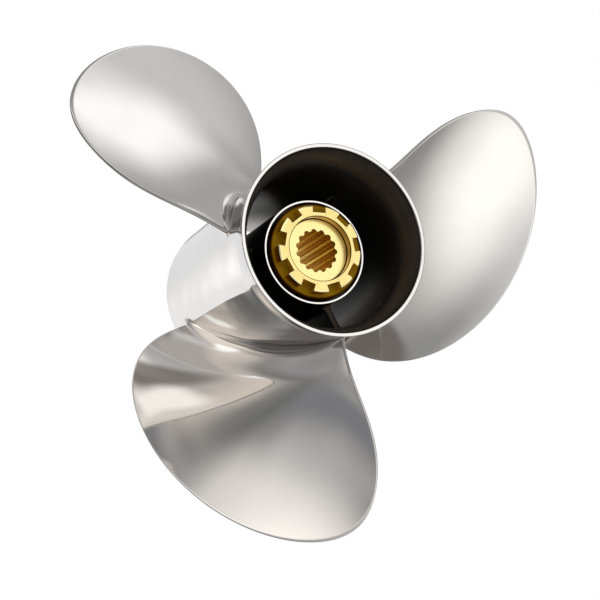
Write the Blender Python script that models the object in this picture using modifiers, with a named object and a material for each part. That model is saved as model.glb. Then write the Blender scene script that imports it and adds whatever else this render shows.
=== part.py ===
"""Three-blade outboard boat propeller with exhaust through its hub.

Metres, +Z up. The propeller stands on the forward end of its barrel, so +Z is
the shaft axis pointing aft. The origin is the centre of the forward face, and
the tip of the first blade lies over +X. It turns clockwise seen from aft.
"""
import math

import bmesh
import bpy
from mathutils import Vector

INCH = 0.0254
TAU = 2 * math.pi
GAP = 0.0003            # left between pieces that touch

# Propeller: the size marked on such a propeller is its diameter and pitch
DIAMETER = 13.25 * INCH
MARKED_PITCH = 17 * INCH
CUP_SHARE = 0.062       # of the marked pitch, which the cup of the blade gives
BLADES = 3

# Barrel: the outer tube, with its flared aft lip
BARREL_LENGTH = 0.1516
BARREL_FRONT_R = 0.0517
BARREL_NECK_R = 0.0524
BARREL_BORE_R = 0.0480
BORE_FRONT_R = 0.0450   # the draft of the casting narrows the bore forward
RIM_R = 0.05665
RIM_BORE_R = 0.0545
FLARE_LENGTH = 0.018
FLARE_POWER = 1.8       # curve of the flare outside
BORE_FLARE_POWER = 1.6  # and inside
FLARE_STEPS = 5
BARREL_EDGE = 0.0012    # chamfer of the forward edge

# Inner hub: the tube that holds the drive
HUB_R = 0.0312
HUB_BORE_R = 0.0275
HUB_SEAT_R = 0.0299     # bore at the aft mouth, where the flange of the drive sits
HUB_FRONT_Z = 0.0030
HUB_AFT_Z = 0.1214
RIB_THICKNESS = 0.0042
RIB_ANGLE = math.radians(31.8)
RIB_FRONT_Z = 0.0160
RIB_AFT_Z = 0.1016

# Drive: splined brass sleeve in a rubber bushing
SLEEVE_R = 0.0200
SLEEVE_FRONT_Z = 0.0080
SLEEVE_AFT_Z = 0.1300
THRUST_TAPER_R = 0.0155     # mouth of the taper that seats on the thrust washer
THRUST_TAPER_DEPTH = 0.0090
NUT_SEAT_R = 0.01915
NUT_SEAT_DEPTH = 0.0056
SPLINES = 15
SPLINE_LAND_R = 0.0117
SPLINE_GROOVE_R = 0.0016
SPLINE_GROOVE_CENTRE = 0.0113   # how far the middle of each round groove lies from the shaft
SPLINE_ANGLE = math.radians(-1.7)
LUGS = 9
LUG_R = 0.0259
LUG_BEVEL = (0.0008, 0.0003)    # width and depth of the bevel round the lugs
LUG_SLOT_R = 0.0214
LUG_SLOT_WIDTH = 0.0083
LUG_ANGLE = math.radians(23.4)
FLANGE_R = 0.0285
FLANGE_THICKNESS = 0.0057
FLANGE_AFT_Z = 0.1233
BUSHING_FRONT_Z = 0.0140

# Blade curves, root to tip, as the control values of Bezier curves over the span
BLADE_ROOT_R = 0.0520
HALF_CHORD = [math.radians(a) for a in (40.8, 37.9, 44.9, 36.4, 35.4)]
SKEW = [math.radians(a) for a in (-16.5, -23.5, -15.5, -12.2, 0.0)]
RAKE_HEIGHT = (0.0712, 0.0764, 0.0966, 0.1212)
BLADE_BODY = (0.0086, 0.0062, 0.0034, 0.0020)   # thickness at mid chord over that of the edge
LEADING_EDGE = 0.0013
TRAILING_EDGE = 0.0023
EDGE_BLEND = 0.7        # share of the chord, either way, over which one edge's thickness turns to the other's
TIP_EDGE = 0.6          # share of the edge's thickness left at the tip
TIP_EDGE_SPAN = 0.5     # share of the span from which it thins
CAMBER = 0.0048
ROOT_DISH = 0.35        # share of the camber and cup left at the root
ROOT_RUN = 0.17         # share of the span over which they grow to their full depth
CUP_DEPTH = 0.0016
CUP_BLEND = (-0.3, 0.5)     # where along the chord the cup sets in
CUP_POWER = 4           # how close to the trailing edge the cup curls
FILLET = 0.0065         # radius of the root fillet at mid chord
LEADING_FILLET = 0.0045     # and at the two ends of the root
TRAILING_FILLET = 0.0015
ROOT_OVERLAP = 0.055    # share of the span that starts inside the barrel, before the cut
TIP_SPAN = 0.9999       # the last section, short of the tip, where the chord is nought
FILLET_STEPS = 4
SPAN_STEPS = 14
CHORD_STEPS = 16

ROUND_STEPS = 72
GROOVE_SIDES = 10
SHARP_ANGLE = math.radians(35)
CUT_REACH = 0.004       # how far a cutter runs past the face it cuts

STEEL = ("polished_stainless", (0.72, 0.71, 0.70), 0.16, 1.0)
SHADED_STEEL = ("shaded_stainless", (0.16, 0.15, 0.14), 0.45, 1.0)
BRASS = ("brass", (0.86, 0.65, 0.28), 0.25, 1.0)
DARK_BRASS = ("dark_brass", (0.22, 0.15, 0.03), 0.42, 1.0)
RUBBER = ("rubber", (0.025, 0.024, 0.023), 0.75, 0.0)


def clear_scene():
    for obj in list(bpy.data.objects):
        bpy.data.objects.remove(obj)


def new_collection(name, hidden=False):
    collection = bpy.data.collections.new(name)
    collection.hide_render = hidden
    bpy.context.scene.collection.children.link(collection)
    return collection


def material(spec):
    name, colour, roughness, metallic = spec
    found = bpy.data.materials.get(name)
    if found:
        return found
    made = bpy.data.materials.new(name)
    made.use_nodes = True
    shader = made.node_tree.nodes["Principled BSDF"]
    shader.inputs["Base Color"].default_value = (*colour, 1.0)
    shader.inputs["Roughness"].default_value = roughness
    shader.inputs["Metallic"].default_value = metallic
    return made


def add_object(name, mesh, collection, spec=None):
    obj = bpy.data.objects.new(name, mesh)
    collection.objects.link(obj)
    if spec:
        mesh.materials.clear()
        mesh.materials.append(material(spec))
    else:
        obj.hide_render = True
        obj.display_type = "WIRE"
    return obj


def mesh_from(bm, name, smooth=True):
    mesh = bpy.data.meshes.new(name)
    bmesh.ops.recalc_face_normals(bm, faces=bm.faces)
    bm.to_mesh(mesh)
    bm.free()
    if smooth:
        mesh.shade_smooth()
        mesh.set_sharp_from_angle(angle=SHARP_ANGLE)
    return mesh


def turned(name, profile, collection, spec=None, steps=ROUND_STEPS):
    """A ring or tube: profile is a closed loop of (radius, z) down its outer side."""
    mesh = bpy.data.meshes.new(name)
    edges = [(i, (i + 1) % len(profile)) for i in range(len(profile))]
    mesh.from_pydata([(r, 0, z) for r, z in profile], edges, [])
    obj = add_object(name, mesh, collection, spec)
    screw = obj.modifiers.new("Turn", "SCREW")
    screw.axis = "Z"
    screw.angle = TAU
    screw.steps = screw.render_steps = steps
    screw.use_merge_vertices = True
    screw.merge_threshold = 0.00001
    screw.use_smooth_shade = True
    return obj


def cut(obj, cutter):
    boolean = obj.modifiers.new("Cut " + cutter.name, "BOOLEAN")
    boolean.operation = "DIFFERENCE"
    boolean.object = cutter


def bezier(values, t):
    """Value at t of the Bezier curve through one dimension of control values."""
    n = len(values) - 1
    return sum(math.comb(n, i) * (1 - t) ** (n - i) * t ** i * v for i, v in enumerate(values))


def ease(low, high, value):
    t = min(1.0, max(0.0, (value - low) / (high - low)))
    return t * t * (3 - 2 * t)


# Barrel


def barrel_radius(z):
    """Outer radius: a slight taper, then the flare to the rim."""
    neck_z = BARREL_LENGTH - FLARE_LENGTH
    if z <= neck_z:
        return BARREL_FRONT_R + (BARREL_NECK_R - BARREL_FRONT_R) * max(0.0, z) / neck_z
    t = (z - neck_z) / FLARE_LENGTH
    return BARREL_NECK_R + (RIM_R - BARREL_NECK_R) * t ** FLARE_POWER


def bore_radius(z):
    """Bore of the barrel: a slight taper, and a mouth that opens with the flare."""
    neck_z = BARREL_LENGTH - FLARE_LENGTH
    if z <= neck_z:
        return BORE_FRONT_R + (BARREL_BORE_R - BORE_FRONT_R) * z / neck_z
    t = (z - neck_z) / FLARE_LENGTH
    return BARREL_BORE_R + (RIM_BORE_R - BARREL_BORE_R) * t ** BORE_FLARE_POWER


def flare_heights():
    return [BARREL_LENGTH - FLARE_LENGTH * i / FLARE_STEPS for i in range(FLARE_STEPS + 1)]


def make_barrel(parts):
    edge = BARREL_EDGE
    outside = [(barrel_radius(z), z) for z in flare_heights()]
    outside += [(BARREL_FRONT_R, edge), (BARREL_FRONT_R - edge, 0.0)]
    inside = [(BORE_FRONT_R, 0.0)] + [(bore_radius(z), z) for z in reversed(flare_heights())]
    return turned("barrel", outside + inside, parts, STEEL)


def make_inner_hub(parts):
    seat_z = FLANGE_AFT_Z - FLANGE_THICKNESS - GAP
    profile = [
        (HUB_R, HUB_AFT_Z),
        (HUB_R, HUB_FRONT_Z),
        (HUB_BORE_R, HUB_FRONT_Z),
        (HUB_BORE_R, seat_z),
        (HUB_SEAT_R, seat_z),
        (HUB_SEAT_R, HUB_AFT_Z),
    ]
    return turned("inner_hub", profile, parts, SHADED_STEEL)


def make_ribs(parts, axis):
    """Webs that carry the inner hub inside the barrel, between its exhaust passages."""
    half = RIB_THICKNESS / 2
    inner = HUB_R + GAP
    size = Vector((BARREL_BORE_R - inner, RIB_THICKNESS, RIB_AFT_Z - RIB_FRONT_Z))
    middle = Vector((inner + size.x / 2, 0, (RIB_AFT_Z + RIB_FRONT_Z) / 2))
    for i in range(BLADES):
        bm = bmesh.new()
        bmesh.ops.create_cube(bm, size=1.0)
        bmesh.ops.scale(bm, vec=size, verts=bm.verts)
        bmesh.ops.translate(bm, vec=middle, verts=bm.verts)
        for vert in bm.verts:
            if vert.co.x > middle.x:
                vert.co.x = math.sqrt((bore_radius(vert.co.z) - GAP) ** 2 - half ** 2)
        rib = add_object(f"rib_{i + 1}", mesh_from(bm, "rib", smooth=False), parts, SHADED_STEEL)
        rib.parent = axis
        rib.rotation_euler.z = RIB_ANGLE + TAU * i / BLADES


# Blades


def blade_section(span, across):
    """Half the thickness at a share of the span and -1 to 1 across the chord, and how far
    the middle of the section lies forward of the straight helix."""
    span = max(0.0, span)
    inside = (1 - span ** 2) * (1 - across ** 2)
    place = across * math.sqrt(1 - span ** 2)
    edge = LEADING_EDGE + (TRAILING_EDGE - LEADING_EDGE) * ease(-EDGE_BLEND, EDGE_BLEND, place)
    edge *= 1 - (1 - TIP_EDGE) * ease(TIP_EDGE_SPAN, 1, span)
    cup = ease(*CUP_BLEND, place)
    dish = (CAMBER + CUP_DEPTH * (1 - cup)) * inside
    dish += CUP_DEPTH * cup * (1 - (1 - inside) ** CUP_POWER)
    dish *= ROOT_DISH + (1 - ROOT_DISH) * ease(0, ROOT_RUN, span)
    return (edge + bezier(BLADE_BODY, span) * inside) / 2, dish


def fillet_swell(span, across):
    """What the root fillet adds to each side: a quarter round, smaller towards both edges."""
    end = LEADING_FILLET if across < 0 else TRAILING_FILLET
    radius = end + (FILLET - end) * (1 - across ** 4)
    height = max(0.0, span) * (DIAMETER / 2 - BLADE_ROOT_R)
    if height >= radius:
        return 0.0
    return radius - math.sqrt(radius ** 2 - (radius - height) ** 2)


def blade_point(span, across, side):
    """Point on the aft side (side 1) or the forward side (side -1) of the first blade."""
    radius = BLADE_ROOT_R + (DIAMETER / 2 - BLADE_ROOT_R) * span
    turn = across * bezier(HALF_CHORD, span) * math.sqrt(1 - span ** 2)
    lead = MARKED_PITCH * (1 - CUP_SHARE) / TAU
    pitch = math.atan2(lead, radius)
    half, dish = blade_section(span, across)
    lift = side * (half + fillet_swell(span, across)) - dish
    along = across * fillet_swell(span, math.copysign(1, across))
    shift = along * math.cos(pitch) - lift * math.sin(pitch)
    angle = bezier(SKEW, span) + turn + shift / radius
    height = bezier(RAKE_HEIGHT, span) + lead * turn + along * math.sin(pitch) + lift * math.cos(pitch)
    return Vector((radius * math.cos(angle), radius * math.sin(angle), height))


def blade_spans():
    """Sections from inside the barrel, close together up the fillet, then on to the tip."""
    top = FILLET / (DIAMETER / 2 - BLADE_ROOT_R)
    quarter = [math.pi / 2 * i / FILLET_STEPS for i in range(FILLET_STEPS + 1)]
    spans = [-ROOT_OVERLAP] + [top * (1 - math.cos(turn)) for turn in quarter]
    first = math.asin(top)
    last = math.asin(TIP_SPAN)
    return spans + [math.sin(first + (last - first) * i / SPAN_STEPS) for i in range(1, SPAN_STEPS + 1)]


def blade_mesh():
    """Loft through sections that change in chord, camber and thickness."""
    across = [-math.cos(math.pi * i / CHORD_STEPS) for i in range(CHORD_STEPS + 1)]
    loop = [(a, 1) for a in across] + [(a, -1) for a in reversed(across)]
    bm = bmesh.new()
    rings = [[bm.verts.new(blade_point(span, a, side)) for a, side in loop] for span in blade_spans()]
    count = len(loop)
    for lower, upper in zip(rings, rings[1:]):
        for i in range(count):
            j = (i + 1) % count
            bm.faces.new((lower[i], lower[j], upper[j], upper[i]))
    for ring in (rings[0], rings[-1]):
        for i in range(CHORD_STEPS):
            k = count - 1 - i
            bm.faces.new((ring[i], ring[i + 1], ring[k - 1], ring[k]))
    return mesh_from(bm, "blade")


def make_blades(parts, cutters, axis):
    front, aft = -CUT_REACH, BARREL_LENGTH + CUT_REACH
    profile = [(RIM_R + GAP, aft)]
    profile += [(barrel_radius(z) + GAP, z) for z in flare_heights() + [0.0]]
    profile += [(BARREL_FRONT_R + GAP, front), (HUB_R, front), (HUB_R, aft)]
    cutter = turned("barrel_clearance", profile, cutters)
    mesh = blade_mesh()
    for i in range(BLADES):
        blade = add_object(f"blade_{i + 1}", mesh, parts, STEEL)
        blade.parent = axis
        blade.rotation_euler.z = TAU * i / BLADES
        cut(blade, cutter)


# Drive


def ring_of_cutters(name, count, start, one, cutters):
    """One cutter mesh holding count copies of a shape round the shaft axis."""
    bm = bmesh.new()
    for i in range(count):
        before = set(bm.verts)
        one(bm)
        fresh = [v for v in bm.verts if v not in before]
        turn = start + TAU * i / count
        for vert in fresh:
            x, y, z = vert.co
            vert.co = (x * math.cos(turn) - y * math.sin(turn), x * math.sin(turn) + y * math.cos(turn), z)
    return add_object(name, mesh_from(bm, name, smooth=False), cutters)


def spline_groove(bm):
    radius = SPLINE_GROOVE_R
    length = BARREL_LENGTH
    made = bmesh.ops.create_cone(
        bm, cap_ends=True, segments=GROOVE_SIDES, radius1=radius, radius2=radius, depth=length)
    bmesh.ops.translate(bm, vec=(SPLINE_GROOVE_CENTRE, 0, length / 2), verts=made["verts"])


def lug_slot(bm):
    made = bmesh.ops.create_cube(bm, size=1.0)
    depth = LUG_R - LUG_SLOT_R + CUT_REACH
    size = Vector((depth, LUG_SLOT_WIDTH, SLEEVE_AFT_Z - FLANGE_AFT_Z + CUT_REACH))
    bmesh.ops.scale(bm, vec=size, verts=made["verts"])
    corner = Vector((LUG_SLOT_R, 0, FLANGE_AFT_Z))
    bmesh.ops.translate(bm, vec=corner + Vector((size.x / 2, 0, size.z / 2)), verts=made["verts"])


def make_sleeve(parts, cutters):
    """Brass sleeve: splined bore, thrust taper forward, lug ring and nut seat aft."""
    lug_floor_z = FLANGE_AFT_Z + GAP
    seat_z = SLEEVE_AFT_Z - NUT_SEAT_DEPTH
    bevel_width, bevel_depth = LUG_BEVEL
    profile = [
        (LUG_R - bevel_width, SLEEVE_AFT_Z),
        (LUG_R, SLEEVE_AFT_Z - bevel_depth),
        (LUG_R, lug_floor_z),
        (SLEEVE_R, lug_floor_z),
        (SLEEVE_R, SLEEVE_FRONT_Z),
        (THRUST_TAPER_R, SLEEVE_FRONT_Z),
        (SPLINE_LAND_R, SLEEVE_FRONT_Z + THRUST_TAPER_DEPTH),
        (SPLINE_LAND_R, seat_z),
        (NUT_SEAT_R, seat_z),
        (NUT_SEAT_R, SLEEVE_AFT_Z),
    ]
    sleeve = turned("drive_sleeve", profile, parts, BRASS)
    cut(sleeve, ring_of_cutters("spline_grooves", SPLINES, SPLINE_ANGLE, spline_groove, cutters))
    cut(sleeve, ring_of_cutters("lug_slots", LUGS, LUG_ANGLE, lug_slot, cutters))
    return sleeve


def make_flange(parts):
    inner = SLEEVE_R + GAP
    forward_z = FLANGE_AFT_Z - FLANGE_THICKNESS
    profile = [
        (FLANGE_R, FLANGE_AFT_Z),
        (FLANGE_R, forward_z),
        (inner, forward_z),
        (inner, FLANGE_AFT_Z),
    ]
    return turned("sleeve_flange", profile, parts, DARK_BRASS)


def make_bushing(parts):
    inner = SLEEVE_R + GAP
    outer = HUB_BORE_R - GAP
    aft_z = FLANGE_AFT_Z - FLANGE_THICKNESS - GAP
    profile = [(outer, aft_z), (outer, BUSHING_FRONT_Z), (inner, BUSHING_FRONT_Z), (inner, aft_z)]
    return turned("rubber_bushing", profile, parts, RUBBER)


def build():
    clear_scene()
    parts = new_collection("boat_propeller")
    cutters = new_collection("cutters", hidden=True)
    axis = bpy.data.objects.new("shaft_axis", None)
    parts.objects.link(axis)
    make_barrel(parts)
    make_inner_hub(parts)
    make_ribs(parts, axis)
    make_blades(parts, cutters, axis)
    make_sleeve(parts, cutters)
    make_flange(parts)
    make_bushing(parts)


build()
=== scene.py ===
import math

import bmesh
import bpy
import numpy as np
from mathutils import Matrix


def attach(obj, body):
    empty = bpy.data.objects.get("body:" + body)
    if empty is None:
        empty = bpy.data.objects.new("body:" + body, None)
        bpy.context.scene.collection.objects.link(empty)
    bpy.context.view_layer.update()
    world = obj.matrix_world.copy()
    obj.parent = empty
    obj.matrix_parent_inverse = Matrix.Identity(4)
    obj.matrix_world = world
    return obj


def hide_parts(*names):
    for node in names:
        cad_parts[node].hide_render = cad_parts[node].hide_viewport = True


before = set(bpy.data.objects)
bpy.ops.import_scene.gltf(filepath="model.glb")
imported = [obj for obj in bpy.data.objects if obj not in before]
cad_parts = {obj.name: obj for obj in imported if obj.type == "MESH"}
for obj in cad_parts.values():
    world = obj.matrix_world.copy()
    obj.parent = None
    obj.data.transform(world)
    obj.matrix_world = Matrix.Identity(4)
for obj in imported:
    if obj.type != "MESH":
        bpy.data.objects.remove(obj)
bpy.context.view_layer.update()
print("frame loaded:", len(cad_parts), "nodes")

inch = 0.0254
millimetre = 0.001
fullTurn = 2 * math.pi
sharpAngle = math.radians(40)                    # an edge that turns by more stays sharp in shading
hair = 0.00001                                   # heights and radii closer than this count as the same
tiny = 1e-9                                      # keeps a division from nought


# Small helpers for meshes

def bezier(values, t):
    n = len(values) - 1
    return sum(math.comb(n, i) * (1 - t) ** (n - i) * t ** i * v for i, v in enumerate(values))


def ease(low, high, value):
    t = np.clip((np.asarray(value, float) - low) / (high - low), 0, 1)
    return t * t * (3 - 2 * t)


def meshObject(name, points, faces, sharp=sharpAngle):
    mesh = bpy.data.meshes.new(name)
    mesh.from_pydata([tuple(p) for p in points], [], faces)
    mesh.validate()
    mesh.shade_smooth()
    mesh.set_sharp_from_angle(angle=sharp)
    piece = bpy.data.objects.new(name, mesh)
    bpy.context.scene.collection.objects.link(piece)
    return piece


def pointValues(piece, name, values):
    layer = piece.data.attributes.new(name, "FLOAT", "POINT")
    layer.data.foreach_set("value", np.asarray(values, np.float32).ravel())


# Radius and height of each point of a piece
def pointPlaces(piece):
    x, y, z = np.array([v.co for v in piece.data.vertices]).T
    return np.hypot(x, y), z


# Corners of a closed outline rounded off, with a point each side that keeps the flats flat in shading.
# A corner may give its own radius, nought for one that stays as it is. No corner takes more than the
# share "most" of a side, and the extra points lie the share "hold" of a radius past its ends
def rounded(corners, radius, steps=4, most=0.4, hold=0.4):
    outline = []
    for i, corner in enumerate(corners):
        here = np.array(corner[:2], float)
        size = corner[2] if len(corner) > 2 else radius
        if size == 0:
            outline.append(here)
            continue
        sides = [np.array(corners[i - 1][:2]) - here, np.array(corners[(i + 1) % len(corners)][:2]) - here]
        lengths = [np.linalg.norm(s) for s in sides]
        size = min(size, most * min(lengths))
        start, end = [here + s / n * size for s, n in zip(sides, lengths)]
        outline.append(start + sides[0] / lengths[0] * size * hold)
        for k in range(steps + 1):
            t = k / steps
            outline.append((1 - t) ** 2 * start + 2 * t * (1 - t) * here + t * t * end)
        outline.append(end + sides[1] / lengths[1] * size * hold)
    return outline


# A closed profile of (radius, height), outer side downwards, turned round the shaft
def turned(name, profile, steps):
    count = len(profile)
    r, z = np.array(profile, float).T
    turn = np.arange(steps) * fullTurn / steps
    points = np.stack([np.outer(np.cos(turn), r), np.outer(np.sin(turn), r), np.tile(z, (steps, 1))], -1)
    faces = []
    for i in range(steps):
        j = (i + 1) % steps
        for k in range(count):
            m = (k + 1) % count
            faces.append((i * count + k, i * count + m, j * count + m, j * count + k))
    return meshObject(name, points.reshape(-1, 3), faces)


# Nodes, for geometry and for shaders

def wire(tree, kind, inputs=None, **settings):
    node = tree.nodes.new(kind)
    for label, value in settings.items():
        setattr(node, label, value)
    for label, value in (inputs or {}).items():
        socket = node.inputs[label]
        if isinstance(value, bpy.types.NodeSocket):
            tree.links.new(value, socket)
        else:
            socket.default_value = value
    return node


def maths(tree, operation, *values):
    return wire(tree, "ShaderNodeMath", dict(enumerate(values)), operation=operation).outputs[0]


# Each pair of values multiplied, and the two products added
def weighted(tree, first, firstShare, second, secondShare):
    return maths(tree, "ADD", maths(tree, "MULTIPLY", first, firstShare),
                 maths(tree, "MULTIPLY", second, secondShare))


def hypotenuse(tree, a, b):
    return maths(tree, "SQRT", weighted(tree, a, a, b, b))


# A tree with its named inputs and outputs, and the sockets at its two ends
def newTree(name, kind, inputs, outputs):
    tree = bpy.data.node_groups.new(name, kind)
    for side, sockets in (("INPUT", inputs), ("OUTPUT", outputs)):
        for label, socket in sockets:
            tree.interface.new_socket(label, in_out=side, socket_type="NodeSocket" + socket)
    return tree, tree.nodes.new("NodeGroupInput").outputs, tree.nodes.new("NodeGroupOutput").inputs


# Geometry Nodes

def shapeTree(name, sockets):
    shape = [("Geometry", "Geometry")]
    return newTree(name, "GeometryNodeTree", shape + sockets, shape)


def named(tree, name):
    node = wire(tree, "GeometryNodeInputNamedAttribute", {"Name": name}, data_type="FLOAT")
    return node.outputs["Attribute"]


roundSockets = [("Copies", "Int"), ("First Angle", "Float"), ("Merge Distance", "Float"),
                ("Material", "Material")]


# Copies of a shape round the shaft, their seams merged, one material on all
def copiesRound(tree, shape, given, made):
    stations = wire(tree, "GeometryNodeMeshLine", {"Offset": (0, 0, 0), "Count": given["Copies"]})
    index = wire(tree, "GeometryNodeInputIndex").outputs[0]
    gap = maths(tree, "DIVIDE", fullTurn, given["Copies"])
    turn = maths(tree, "MULTIPLY_ADD", index, gap, given["First Angle"])
    spin = wire(tree, "ShaderNodeCombineXYZ", {"Z": turn})
    copies = wire(tree, "GeometryNodeInstanceOnPoints",
                  {"Points": stations.outputs["Mesh"], "Instance": shape, "Rotation": spin.outputs[0]})
    real = wire(tree, "GeometryNodeRealizeInstances", {"Geometry": copies.outputs["Instances"]})
    seams = wire(tree, "GeometryNodeMergeByDistance",
                 {"Geometry": real.outputs["Geometry"], "Distance": given["Merge Distance"]})
    finish = wire(tree, "GeometryNodeSetMaterial",
                  {"Geometry": seams.outputs["Geometry"], "Material": given["Material"]})
    tree.links.new(finish.outputs["Geometry"], made["Geometry"])


def applyTree(piece, tree, values):
    modifier = piece.modifiers.new(tree.name, "NODES")
    modifier.node_group = tree
    for item in tree.interface.items_tree:
        if item.in_out == "INPUT" and item.name in values:
            modifier[item.identifier] = values[item.name]
    bpy.context.view_layer.update()
    graph = bpy.context.evaluated_depsgraph_get()
    mesh = bpy.data.meshes.new_from_object(piece.evaluated_get(graph))
    piece.modifiers.remove(modifier)
    piece.data = mesh
    return piece


roundTree, roundGiven, roundMade = shapeTree("round the shaft", roundSockets)
copiesRound(roundTree, roundGiven["Geometry"], roundGiven, roundMade)


def roundValues(copies, firstAngle, material, weld=0.0):
    return {"Copies": copies, "First Angle": firstAngle, "Merge Distance": weld, "Material": material}


# Shader groups: each puts out masks, values or heights that change over a surface

def noise(tree, where, scale, detail=2.0, roughness=0.5):
    node = wire(tree, "ShaderNodeTexNoise",
                {"Vector": where, "Scale": scale, "Detail": detail, "Roughness": roughness})
    return node.outputs["Fac"]


def remap(tree, value, low, high, toLow=0.0, toHigh=1.0, smooth=True):
    node = wire(tree, "ShaderNodeMapRange", {"Value": value, "From Min": low, "From Max": high,
                                             "To Min": toLow, "To Max": toHigh},
                interpolation_type="SMOOTHSTEP" if smooth else "LINEAR")
    return node.outputs["Result"]


# The Mix node has its factor at socket 0, and its colours at 6 and 7
def blendColour(tree, factor, first, second):
    node = wire(tree, "ShaderNodeMix", {0: factor, 6: first, 7: second}, data_type="RGBA")
    return node.outputs[2]


def shaderGroup(name, vectors, sizes, outputs):
    inputs = [(label, "Vector") for label in vectors] + [(label, "Float") for label in sizes]
    return newTree(name, "ShaderNodeTree", inputs, [(label, "Float") for label in outputs])


# Polished surface: patches of haze, fine lines left by the polishing belt, and the slow waves of a casting
def polishGroup():
    hazeFrom, hazeTo = 0.35, 0.7                 # clear metal below, full haze above
    tree, given, made = shaderGroup("polish", ["Where", "Along"], ["Haze Scale", "Line Scale", "Wave Scale"],
                                    ["Haze", "Lines", "Waves"])
    patches = noise(tree, given["Where"], given["Haze Scale"], detail=4, roughness=0.6)
    lines = noise(tree, given["Along"], given["Line Scale"], detail=3, roughness=0.7)
    waves = noise(tree, given["Where"], given["Wave Scale"], detail=1, roughness=0.4)
    tree.links.new(remap(tree, patches, hazeFrom, hazeTo), made["Haze"])
    tree.links.new(lines, made["Lines"])
    tree.links.new(waves, made["Waves"])
    return tree


# Lathe marks: rings round the shaft, which wander by a fraction of a millimetre
def latheGroup():
    wanderScale, wanderWidth = 60.0, 0.0004
    tree, given, made = shaderGroup("lathe marks", ["Where"], ["Ring Scale"], ["Height"])
    x, y, z = wire(tree, "ShaderNodeSeparateXYZ", {0: given["Where"]}).outputs
    wander = maths(tree, "MULTIPLY", noise(tree, given["Where"], wanderScale), wanderWidth)
    ring = maths(tree, "ADD", maths(tree, "ADD", hypotenuse(tree, x, y), z), wander)
    rings = wire(tree, "ShaderNodeTexNoise", {"W": ring, "Scale": given["Ring Scale"], "Detail": 2.0},
                 noise_dimensions="1D")
    tree.links.new(rings.outputs["Fac"], made["Height"])
    return tree


# Stain: soft patches with a fine grain in them
def stainGroup():
    patchFrom, patchTo = 0.3, 0.7                # clean below, full stain above
    tree, given, made = shaderGroup("stain", ["Where"], ["Patch Scale", "Grain Scale"], ["Patches", "Grain"])
    patches = noise(tree, given["Where"], given["Patch Scale"], detail=3, roughness=0.6)
    grain = noise(tree, given["Where"], given["Grain Scale"], detail=2, roughness=0.6)
    tree.links.new(remap(tree, patches, patchFrom, patchTo), made["Patches"])
    tree.links.new(grain, made["Grain"])
    return tree


groups = {"polish": polishGroup(), "lathe": latheGroup(), "stain": stainGroup()}


def useGroup(tree, key, inputs):
    return wire(tree, "ShaderNodeGroup", inputs, node_tree=groups[key]).outputs


def mark(tree, name):
    return wire(tree, "ShaderNodeAttribute", attribute_name=name).outputs["Fac"]


# Heights come in millimetres
def bump(tree, shader, height):
    node = wire(tree, "ShaderNodeBump", {"Height": height, "Distance": millimetre, "Strength": 1.0})
    tree.links.new(node.outputs[0], shader.inputs["Normal"])


def newMaterial(name, look):
    material = bpy.data.materials.new(name)
    material.use_nodes = True
    tree = material.node_tree
    shader = tree.nodes["Principled BSDF"]
    shader.inputs["Metallic"].default_value = look["metallic"]
    shader.inputs["Specular IOR Level"].default_value = look["specular"]
    where = wire(tree, "ShaderNodeTexCoord").outputs["Object"]
    return material, tree, shader, where


# The look's plain roughness where the mask is low, with its haze on top where it is high
def hazy(tree, mask, look, low=0.0, high=1.0, smooth=False):
    return remap(tree, mask, low, high, look["roughness"], look["roughness"] + look["haze"], smooth)


# Polished steel, where "rim" says how near the middle of a rounded edge a point is; there a painted dark line
# stands for the edge's reflection of dark surroundings
def steelMaterial(name, look):
    material, tree, shader, where = newMaterial(name, look)
    along = wire(tree, "ShaderNodeMapping", {"Vector": where, "Scale": look["lineStretch"]}).outputs[0]
    polish = useGroup(tree, "polish", {"Where": where, "Along": along, "Haze Scale": look["hazeScale"],
                                       "Line Scale": look["lineScale"], "Wave Scale": look["waveScale"]})
    colour = blendColour(tree, polish["Haze"], look["colour"], look["hazeColour"])
    # painted reflection: a dark line painted along rounded edges
    colour = blendColour(tree, mark(tree, "rim"), colour, look["rimShadeColour"])
    tree.links.new(colour, shader.inputs["Base Color"])
    rough = maths(tree, "MULTIPLY_ADD", polish["Lines"], look["lineHaze"], hazy(tree, polish["Haze"], look))
    tree.links.new(rough, shader.inputs["Roughness"])
    bump(tree, shader, weighted(tree, polish["Waves"], look["waveDepth"], polish["Lines"], look["lineDepth"]))
    return material


# Brass: "shade" says how far a point lies in a slot, groove or recessed wall, and darkens it there with
# painted shade; the wear mark says how near it is to a rubbed edge or a land, lighter there for wear and a
# painted sheen;
# the line mark says how near it is to an edge with a painted dark line of shade along it, and "matte" where
# the face is turned but not polished
def brassMaterial(name, look):
    material, tree, shader, where = newMaterial(name, look)
    stain = useGroup(tree, "stain", {"Where": where, "Patch Scale": look["patchScale"],
                                     "Grain Scale": look["grainScale"]})
    rings = useGroup(tree, "lathe", {"Where": where, "Ring Scale": look["ringScale"]})
    colour = blendColour(tree, stain["Patches"], look["colour"], look["patchColour"])
    for layer in ("matte", "shade", "wearAndSheen", "shadeLine"):
        colour = blendColour(tree, mark(tree, layer), colour, look[layer + "Colour"])
    tree.links.new(colour, shader.inputs["Base Color"])
    rough = maths(tree, "MULTIPLY_ADD", mark(tree, "matte"), look["matteHaze"],
                  hazy(tree, stain["Patches"], look))
    tree.links.new(rough, shader.inputs["Roughness"])
    bump(tree, shader, weighted(tree, rings["Height"], look["ringDepth"], stain["Grain"], look["grainDepth"]))
    return material
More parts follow.
